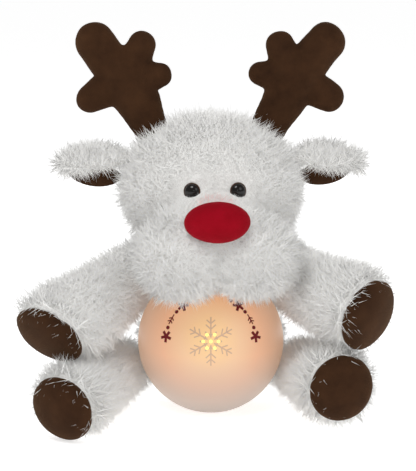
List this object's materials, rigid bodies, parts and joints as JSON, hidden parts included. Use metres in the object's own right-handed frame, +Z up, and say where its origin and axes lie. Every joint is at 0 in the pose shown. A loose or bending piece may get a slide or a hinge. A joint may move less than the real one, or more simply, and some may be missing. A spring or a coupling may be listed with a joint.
{
  "type": "light-up plush reindeer",
  "caption": "Seated long-pile plush reindeer with stuffed antlers, velour soles and a frosted battery-lit globe for a belly; head, ears, antlers, arms and legs flex at their seams.",
  "frame": {"origin": "on the floor, on the flat underside of the lamp's battery base, straight below the neck's turning axis", "axes": "+Z up, the face and the lit belly look along -Y, +X is the animal's left side"},
  "size_m": [0.2658, 0.1937, 0.2793],
  "materials": {
    "white_fur": "long-pile plush fabric",
    "brown_velour": "short-pile velour",
    "red_velour": "short-pile velour",
    "stuffing": "loose polyester fibre",
    "elastic_hem": "woven elastic band",
    "label_cloth": "woven satin ribbon, blank",
    "frosted_globe": "frosted translucent plastic, lit warm from inside",
    "white_plastic": "moulded plastic, fine texture",
    "black_plastic": "moulded plastic",
    "eye_gloss": "polished black",
    "circuit_green": "solder-masked board",
    "light_amber": "clear amber lens",
    "cell_jacket": "printed jacket, blank",
    "steel": "nickel-plated",
    "wire_red": "insulated wire",
    "wire_black": "insulated wire"
  },
  "bodies": {
    "torso": {"lamp_globe": "frosted_globe", "lamp_housing": "white_plastic", "hem_band": "elastic_hem", "led_post": "white_plastic", "led_board": "circuit_green", "led_lights": "light_amber", "driver_chip": "black_plastic", "board_screws": "steel", "housing_screws": "steel", "switch_body": "black_plastic", "battery_front": "cell_jacket", "battery_middle": "cell_jacket", "battery_rear": "cell_jacket", "contact_springs": "steel", "contact_plates": "steel", "wire_red": "wire_red", "wire_black": "wire_black", "torso_cover": "white_fur", "torso_stuffing": "stuffing", "tail_cover": "white_fur", "tail_stuffing": "stuffing", "sewn_label": "label_cloth"},
    "switch": {"switch_knob": "black_plastic"},
    "door": {"battery_door": "white_plastic", "door_screw": "steel"},
    "neck": {"neck_core": "white_fur"},
    "head": {"head_cover": "white_fur", "head_stuffing": "stuffing", "muzzle_cover": "white_fur", "muzzle_stuffing": "stuffing", "nose_cover": "red_velour", "nose_stuffing": "stuffing", "left_eye": "eye_gloss", "right_eye": "eye_gloss", "left_eye_washer": "white_plastic", "right_eye_washer": "white_plastic"},
    "left_antler": {"left_antler_cover": "brown_velour", "left_antler_stuffing": "stuffing"},
    "left_ear": {"left_ear_cover": "white_fur", "left_ear_lining": "brown_velour"},
    "left_arm": {"left_arm_cover": "white_fur", "left_arm_stuffing": "stuffing", "left_paw_pad": "brown_velour"},
    "left_leg": {"left_leg_cover": "white_fur", "left_leg_stuffing": "stuffing", "left_foot_pad": "brown_velour"},
    "right_antler": {"right_antler_cover": "brown_velour", "right_antler_stuffing": "stuffing"},
    "right_ear": {"right_ear_cover": "white_fur", "right_ear_lining": "brown_velour"},
    "right_arm": {"right_arm_cover": "white_fur", "right_arm_stuffing": "stuffing", "right_paw_pad": "brown_velour"},
    "right_leg": {"right_leg_cover": "white_fur", "right_leg_stuffing": "stuffing", "right_foot_pad": "brown_velour"}
  },
  "joints": [
    {"name": "switch_slide", "type": "slide", "parent": "torso", "child": "switch", "axis": [-1, 0, 0], "range_m": [-0.003, 0]},
    {"name": "door_lift", "type": "slide", "parent": "torso", "child": "door", "axis": [0, 0, -1], "range_m": [0, 0.02]},
    {"name": "neck_turn", "type": "hinge", "parent": "torso", "child": "neck", "pos_m": [0, 0, 0.108], "axis": [0, 0, 1], "range_deg": [-9, 9], "stiffness_Nm_per_rad": 0.3},
    {"name": "head_nod", "type": "hinge", "parent": "neck", "child": "head", "pos_m": [0, 0, 0.108], "axis": [-1, 0, 0], "range_deg": [0, 14], "stiffness_Nm_per_rad": 0.6},
    {"name": "left_antler_bend", "type": "hinge", "parent": "head", "child": "left_antler", "pos_m": [0.04368, 0.0073, 0.206], "axis": [-0.0523, 0.9986, 0], "range_deg": [-10, 10], "stiffness_Nm_per_rad": 0.15},
    {"name": "left_ear_flop", "type": "hinge", "parent": "head", "child": "left_ear", "pos_m": [0.06386, 0.00435, 0.18], "axis": [-0.0523, 0.9986, 0], "range_deg": [-20, 10], "stiffness_Nm_per_rad": 0.02},
    {"name": "left_arm_raise", "type": "hinge", "parent": "torso", "child": "left_arm", "pos_m": [0.056, 0.014, 0.092], "axis": [-1, 0, 0], "range_deg": [0, 40], "stiffness_Nm_per_rad": 0.2},
    {"name": "left_leg_close", "type": "hinge", "parent": "torso", "child": "left_leg", "pos_m": [0.068, 0.008, 0.0205], "axis": [0, 0, -1], "range_deg": [0, 8], "stiffness_Nm_per_rad": 0.4},
    {"name": "right_antler_bend", "type": "hinge", "parent": "head", "child": "right_antler", "pos_m": [-0.0442, 0.00269, 0.206], "axis": [0.0523, -0.9986, 0], "range_deg": [-10, 10], "stiffness_Nm_per_rad": 0.15},
    {"name": "right_ear_flop", "type": "hinge", "parent": "head", "child": "right_ear", "pos_m": [-0.06396, -0.00235, 0.18], "axis": [0.0523, -0.9986, 0], "range_deg": [-20, 10], "stiffness_Nm_per_rad": 0.02},
    {"name": "right_arm_raise", "type": "hinge", "parent": "torso", "child": "right_arm", "pos_m": [-0.056, 0.014, 0.092], "axis": [-1, 0, 0], "range_deg": [0, 40], "stiffness_Nm_per_rad": 0.2},
    {"name": "right_leg_close", "type": "hinge", "parent": "torso", "child": "right_leg", "pos_m": [-0.068, 0.008, 0.0205], "axis": [0, 0, 1], "range_deg": [0, 8], "stiffness_Nm_per_rad": 0.4}
  ]
}
